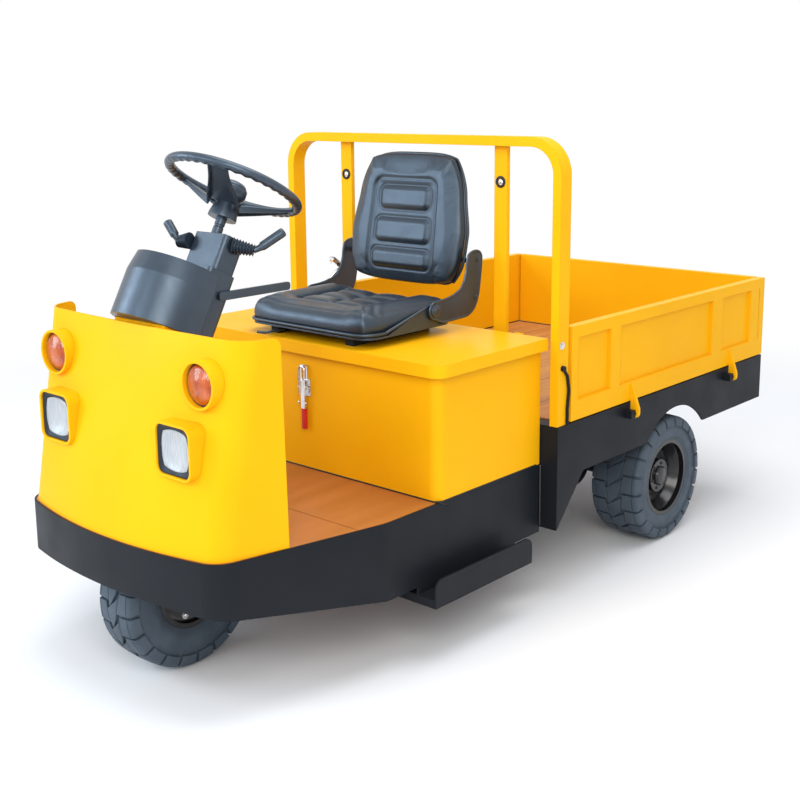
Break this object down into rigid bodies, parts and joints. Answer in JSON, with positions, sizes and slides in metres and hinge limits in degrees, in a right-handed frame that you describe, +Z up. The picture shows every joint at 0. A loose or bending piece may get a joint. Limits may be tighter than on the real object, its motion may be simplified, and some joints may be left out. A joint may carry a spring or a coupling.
{
  "type": "electric platform truck",
  "caption": "Electric platform truck with a steered front wheel, seat on a tilting battery lid, tube guard, wheel steering and a drop-side load bed.",
  "frame": {"origin": "on the ground, at the middle of the bounding box in plan", "axes": "+Y from the nose to the tail, +X to the side of the step seen in the picture, +Z up"},
  "size_m": [1.276, 2.735, 1.471],
  "materials": {
    "yellow_paint": "glossy yellow enamel",
    "black_paint": "satin black enamel",
    "rim_paint": "gloss black enamel",
    "floor_board": "varnished board",
    "bed_wood": "oiled planks",
    "tyre_rubber": "matt rubber",
    "black_plastic": "moulded, satin",
    "seat_vinyl": "grained vinyl",
    "amber_lens": "moulded lens",
    "clear_lens": "fluted glass",
    "gasket_rubber": "soft rubber",
    "bright_steel": "plated steel",
    "red_grip": "dipped vinyl",
    "red_lens": "moulded lens"
  },
  "bodies": {
    "chassis": {"rear_frame": "black_paint", "bed_floor": "bed_wood", "front_frame": "black_paint", "driver_floor": "floor_board", "side_steps": "black_paint", "cowl": "yellow_paint", "lamp_bezels": "yellow_paint", "indicator_lenses": "amber_lens", "headlamp_gaskets": "gasket_rubber", "headlamp_lenses": "clear_lens", "battery_box": "yellow_paint", "battery": "black_plastic", "lid_hinges": "yellow_paint", "guard": "yellow_paint", "hinge_blocks": "black_paint", "board_latches": "black_paint", "rear_axle": "black_paint", "drive_motor": "black_paint", "leaf_springs": "black_paint", "spring_hangers": "black_paint", "tail_lamps": "red_lens", "tow_clevis": "black_paint", "wheel_housing": "black_paint", "steering_column": "black_plastic", "column_cover": "black_plastic", "pedestal": "yellow_paint", "stalks": "black_plastic", "brake_lever": "black_plastic", "pedals": "black_plastic", "toggle_latch": "bright_steel", "latch_grip": "red_grip"},
    "lid": {"battery_lid": "yellow_paint", "seat_slides": "black_paint", "seat_pan": "black_plastic", "seat_cushion": "seat_vinyl", "recline_lever": "bright_steel"},
    "backrest": {"backrest_pad": "seat_vinyl", "backrest_shell": "black_plastic", "seat_arms": "black_plastic"},
    "steer_fork": {"fork": "black_paint"},
    "front_wheel": {"front_tyre": "tyre_rubber", "front_rim": "rim_paint"},
    "rear_wheel_left": {"rear_tyre_left": "tyre_rubber", "rear_rim_left": "rim_paint"},
    "rear_wheel_right": {"rear_tyre_right": "tyre_rubber", "rear_rim_right": "rim_paint"},
    "steering": {"steering_wheel": "black_plastic"},
    "drop_side_left": {"side_board_left": "yellow_paint"},
    "drop_side_right": {"side_board_right": "yellow_paint"},
    "tail_board": {"tailgate": "yellow_paint", "gate_bolts": "black_paint"}
  },
  "joints": [
    {"name": "steer", "type": "hinge", "parent": "chassis", "child": "steer_fork", "pos_m": [0, -1.1065, 0.2285], "axis": [0, 0, 1], "range_deg": [-75, 75]},
    {"name": "steering_turn", "type": "hinge", "parent": "chassis", "child": "steering", "pos_m": [0, -0.8525, 1.348], "axis": [0, 0.4695, 0.8829], "range_deg": [-600, 600]},
    {"name": "front_spin", "type": "hinge", "parent": "steer_fork", "child": "front_wheel", "pos_m": [0, -1.1065, 0.2285], "axis": [1, 0, 0], "continuous": true},
    {"name": "rear_spin_left", "type": "hinge", "parent": "chassis", "child": "rear_wheel_left", "pos_m": [0.485, 0.6585, 0.2285], "axis": [1, 0, 0], "continuous": true},
    {"name": "rear_spin_right", "type": "hinge", "parent": "chassis", "child": "rear_wheel_right", "pos_m": [-0.485, 0.6585, 0.2285], "axis": [1, 0, 0], "continuous": true},
    {"name": "lid_tilt", "type": "hinge", "parent": "chassis", "child": "lid", "pos_m": [0, -0.0745, 0.848], "axis": [-1, 0, 0], "range_deg": [0, 55]},
    {"name": "backrest_fold", "type": "hinge", "parent": "lid", "child": "backrest", "pos_m": [0, -0.2915, 0.939], "axis": [1, 0, 0], "range_deg": [-12, 65]},
    {"name": "drop_side_left_hinge", "type": "hinge", "parent": "chassis", "child": "drop_side_left", "pos_m": [0.622, 0, 0.543], "axis": [0, 1, 0], "range_deg": [0, 180]},
    {"name": "drop_side_right_hinge", "type": "hinge", "parent": "chassis", "child": "drop_side_right", "pos_m": [-0.622, 0, 0.543], "axis": [0, -1, 0], "range_deg": [0, 180]},
    {"name": "tail_board_hinge", "type": "hinge", "parent": "chassis", "child": "tail_board", "pos_m": [0, 1.3515, 0.543], "axis": [-1, 0, 0], "range_deg": [0, 180]}
  ],
  "couplings": [
    {"joint": "steering_turn", "follows": "steer", "ratio": 8}
  ]
}
